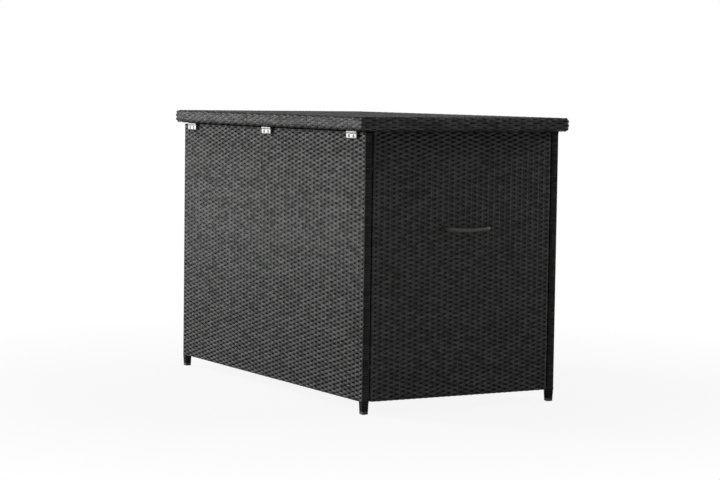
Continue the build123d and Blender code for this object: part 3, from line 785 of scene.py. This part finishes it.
# ---------------------------------------------------------------------------
# Hinges: three stainless butt hinges, brushed along the pin. The lower leaf is pressed as a
# shallow tray that stands on the weave and ends in two knuckles; dark screws hold it.
# ---------------------------------------------------------------------------
hinge_places, hinge_half = {"left": -0.497, "middle": 0.0, "right": 0.497}, 0.0275
pin_y, pin_z = 0.3165, 0.7575
knuckle_radius, knuckle_start, knuckle_edge = 0.004, 0.010, 0.0004
tray_face, tray_low, tray_top = 0.3192, 0.7408, 0.7530
tray_corner, tray_edge = 0.003, 0.0008
neck_lap, neck_back = 0.001, 0.0005                # from the tray up to a knuckle
screw_out, screw_level, screw_sink = 0.012, 0.7472, 0.0010
screw_head, screw_depth, screw_edge = 0.0045, 0.003, 0.0005
recess_rim, recess_depth = 0.0017, 0.0008
same, apart = 0.0001, 0.001                        # how near two places count as one, or don't


def brushed(place):
    strokes = place.stretched(14, 900, 900).noise(3.0, 3)
    smudge = place.noise(70, 3)
    return {
        "Base Color": strokes.between((0.25, 0.25, 0.245), (0.38, 0.38, 0.37)),
        "Roughness": 0.48 + 0.12 * strokes + 0.08 * smudge,
        "Normal": strokes.raised(0.00004, 0.5),
    }


def block(low, high):
    """A plain block between two corners, to be shaped."""
    bpy.ops.object.select_all(action="DESELECT")
    bpy.ops.mesh.primitive_cube_add(size=1)
    piece = bpy.context.object
    middle = (Vector(low) + Vector(high)) / 2
    size = Vector(high) - Vector(low)
    for point in piece.data.vertices:
        point.co = middle + Vector(a * b for a, b in zip(point.co, size))
    return piece


def lower_plate(side):
    place = hinge_places[side]
    tray = block((place - hinge_half, half_y, tray_low), (place + hinge_half, tray_face, tray_top))
    round_edges(tray, tray_corner,
                lambda a, b: abs(a.y - b.y) > apart and a.z < tray_top - apart, segments=4)
    round_edges(tray, tray_edge, lambda a, b: min(a.y, b.y) > tray_face - same)
    parts = [tray]
    for hand in (-1, 1):
        inner, outer = sorted((place + hand * knuckle_start, place + hand * hinge_half))
        parts.append(block((inner, half_y, tray_top - neck_lap),
                           (outer, tray_face - neck_back, pin_z)))
        knuckle = turned_bar(knuckle_radius, outer - inner, sides=28)
        knuckle.data.transform(Matrix.Translation(((inner + outer) / 2, pin_y, pin_z))
                               @ Matrix.Rotation(math.pi / 2, 4, "Y"))
        parts.append(knuckle)
        round_edges(knuckle, knuckle_edge, lambda a, b: abs(a.x - b.x) < same)
    return gather(f"hinge_{side}_lower_plate", *parts)


stainless = finish("brushed_stainless", {"Metallic": 1.0}, brushed)
for side in hinge_places:
    dress(stainless, f"hinge_{side}_upper_leaf")
    finished(lower_plate(side), "box", "hinge_steel", stainless, f"hinge_{side}_lower_leaf")
dress(stainless, "hinge_pins")


def blackened(place):
    turned = place.noise(1800, 2)
    return {
        "Base Color": turned.between((0.008, 0.008, 0.008), (0.024, 0.024, 0.023)),
        "Roughness": 0.62 + 0.15 * turned,
        "Normal": turned.raised(0.00004, 0.5),
    }


dark_steel = finish("blackened_screws", {"Specular IOR Level": 0.1}, blackened)
dress(dark_steel, "hinge_lid_screws")
screw = turned_bar(screw_head, screw_depth, sides=24)
round_edges(screw, screw_edge, lambda a, b: a.z > 0 and b.z > 0)
bpy.ops.object.mode_set(mode="EDIT")
bpy.ops.mesh.select_mode(type="FACE")
bpy.ops.mesh.select_all(action="DESELECT")
bpy.ops.object.mode_set(mode="OBJECT")
for face in screw.data.polygons:
    face.select = face.normal.z > 0.9 and len(face.vertices) > 4
bpy.ops.object.mode_set(mode="EDIT")
bpy.ops.mesh.inset(thickness=recess_rim)
bpy.ops.mesh.extrude_region_move(TRANSFORM_OT_translate={"value": (0, 0, -recess_depth)})
bpy.ops.object.mode_set(mode="OBJECT")
screws = []
for place in hinge_places.values():
    for hand in (-1, 1):
        seat = (place + hand * screw_out, tray_face - screw_sink, screw_level)
        screws.append(turned_copy(screw, "screw", "X", -math.pi / 2))
        screws[-1].data.transform(Matrix.Translation(seat))
bpy.data.objects.remove(screw)
finished(gather("hinge_box_screw_heads", *screws), "box", "fastener_zinc", dark_steel,
         "hinge_box_screws")


# ---------------------------------------------------------------------------
# Gas struts: black painted cylinders, chromed rods, and pressed brackets on the end frames
# and under the lid.
# ---------------------------------------------------------------------------
def painted(place):
    peel = place.noise(700, 2)
    rub = place.noise(50, 4)
    return {
        "Base Color": rub.between((0.010, 0.010, 0.010), (0.022, 0.022, 0.022)),
        "Roughness": 0.24 + 0.14 * rub,
        "Normal": peel.raised(0.00005, 0.4),
    }


def chromed(place):
    ground = place.stretched(500, 500, 40).noise(2.0, 2)
    return {
        "Base Color": ground.between((0.70, 0.70, 0.71), (0.80, 0.80, 0.81)),
        "Roughness": 0.07 + 0.07 * ground,
        "Normal": ground.raised(0.00001, 0.3),
    }


dress(finish("strut_paint", {"Specular IOR Level": 0.5}, painted), "left_strut_cylinder",
      "right_strut_cylinder", "strut_box_brackets", "strut_lid_brackets")
dress(finish("chrome", {"Metallic": 1.0}, chromed), "left_strut_rod", "right_strut_rod")


# ---------------------------------------------------------------------------
# Studio: a plain white floor that keeps a faint shadow, a white background, a tall softbox on
# the hinge side and a weaker one in front, and the camera at the photograph's angle.
# ---------------------------------------------------------------------------
shadow_share, shadow_near, shadow_far = 0.10, 0.7, 2.0
room_light = 0.105
white = (1, 1, 1, 1)


def seen(bare):
    """1 for what the camera looks at, straight, mirrored or through glass, 0 for plain light."""
    straight, mirrored, through = (bare.add("LightPath", output=f"Is {kind} Ray")
                                   for kind in ("Camera", "Glossy", "Transmission"))
    return bare.maths("MAXIMUM", bare.maths("MAXIMUM", straight, mirrored), through)


bpy.ops.object.select_all(action="DESELECT")
bpy.ops.mesh.primitive_plane_add(size=60, location=(0, 0, 0))
ground = bpy.context.object
ground.name = "ground"
paper = bpy.data.materials.new("paper")
paper.use_nodes = True
paper.node_tree.nodes.clear()
bare = Shade(paper.node_tree)
matt = bare.add("BsdfDiffuse", {}, {"Color": (0.8, 0.8, 0.8, 1)})
glow = bare.add("Emission", {}, {"Color": white, "Strength": 1.0})
here = bare.add("TexCoord", output="Object")
far = here.add("VectorMath", {"operation": "LENGTH"}, {0: here}, "Value")
far = far.band(shadow_near, shadow_far)
glowing = seen(bare) * (1 - shadow_share + shadow_share * far)
shown = bare.add("MixShader", {}, {0: glowing, 1: matt, 2: glow})
bare.add("OutputMaterial", {}, {"Surface": shown})
ground.data.materials.append(paper)

world = bpy.data.worlds.new("studio")
bpy.context.scene.world = world
world.use_nodes = True
world.node_tree.nodes.clear()
bare = Shade(world.node_tree)
room = bare.add("Background", {}, {"Color": white, "Strength": room_light})
backdrop = bare.add("Background", {}, {"Color": white, "Strength": 1.0})
shown = bare.add("MixShader", {}, {0: seen(bare), 1: room, 2: backdrop})
bare.add("OutputWorld", {}, {"Surface": shown})


def softbox(name, place, aim, width, height, power):
    bpy.ops.object.light_add(type="AREA", location=place)
    light = bpy.context.object
    light.name = name
    light.data.shape = "RECTANGLE"
    light.data.size, light.data.size_y, light.data.energy = width, height, power
    light.rotation_euler = (Vector(aim) - Vector(place)).to_track_quat("-Z", "Y").to_euler()


softbox("hinge_side_softbox", place=(4.6, 3.5, 2.0), aim=(0, 0.2, 0.4),
        width=1.8, height=3.9, power=390)
softbox("front_softbox", place=(-0.7, -5.4, 3.0), aim=(0, -0.2, 0.4),
        width=2.4, height=2.0, power=140)

azimuth, elevation, roll = math.radians(240.0739), math.radians(4.0817), math.radians(0.8)
aim, distance, slide, lift = Vector((0, 0, 0.4)), 6.3159, 0.0007, 0.0251
film_width, focal_pixels, photo_pixels = 36, 2125.53, 720
back = Vector((math.sin(azimuth) * math.cos(elevation), -math.cos(azimuth) * math.cos(elevation),
               math.sin(elevation)))
level = Vector((math.cos(azimuth), math.sin(azimuth), 0))
upright = back.cross(level)
across = math.cos(roll) * level + math.sin(roll) * upright
upright = math.cos(roll) * upright - math.sin(roll) * level
turned = Matrix((across, upright, back)).transposed().to_4x4()
stand = aim + back * distance - across * slide + upright * lift
bpy.ops.object.camera_add()
camera = bpy.context.object
camera.name = "camera"
camera.data.sensor_width = film_width
camera.data.lens = focal_pixels / photo_pixels * film_width
camera.matrix_world = Matrix.Translation(stand) @ turned
bpy.context.scene.camera = camera
bpy.context.scene.view_settings.view_transform = "Standard"
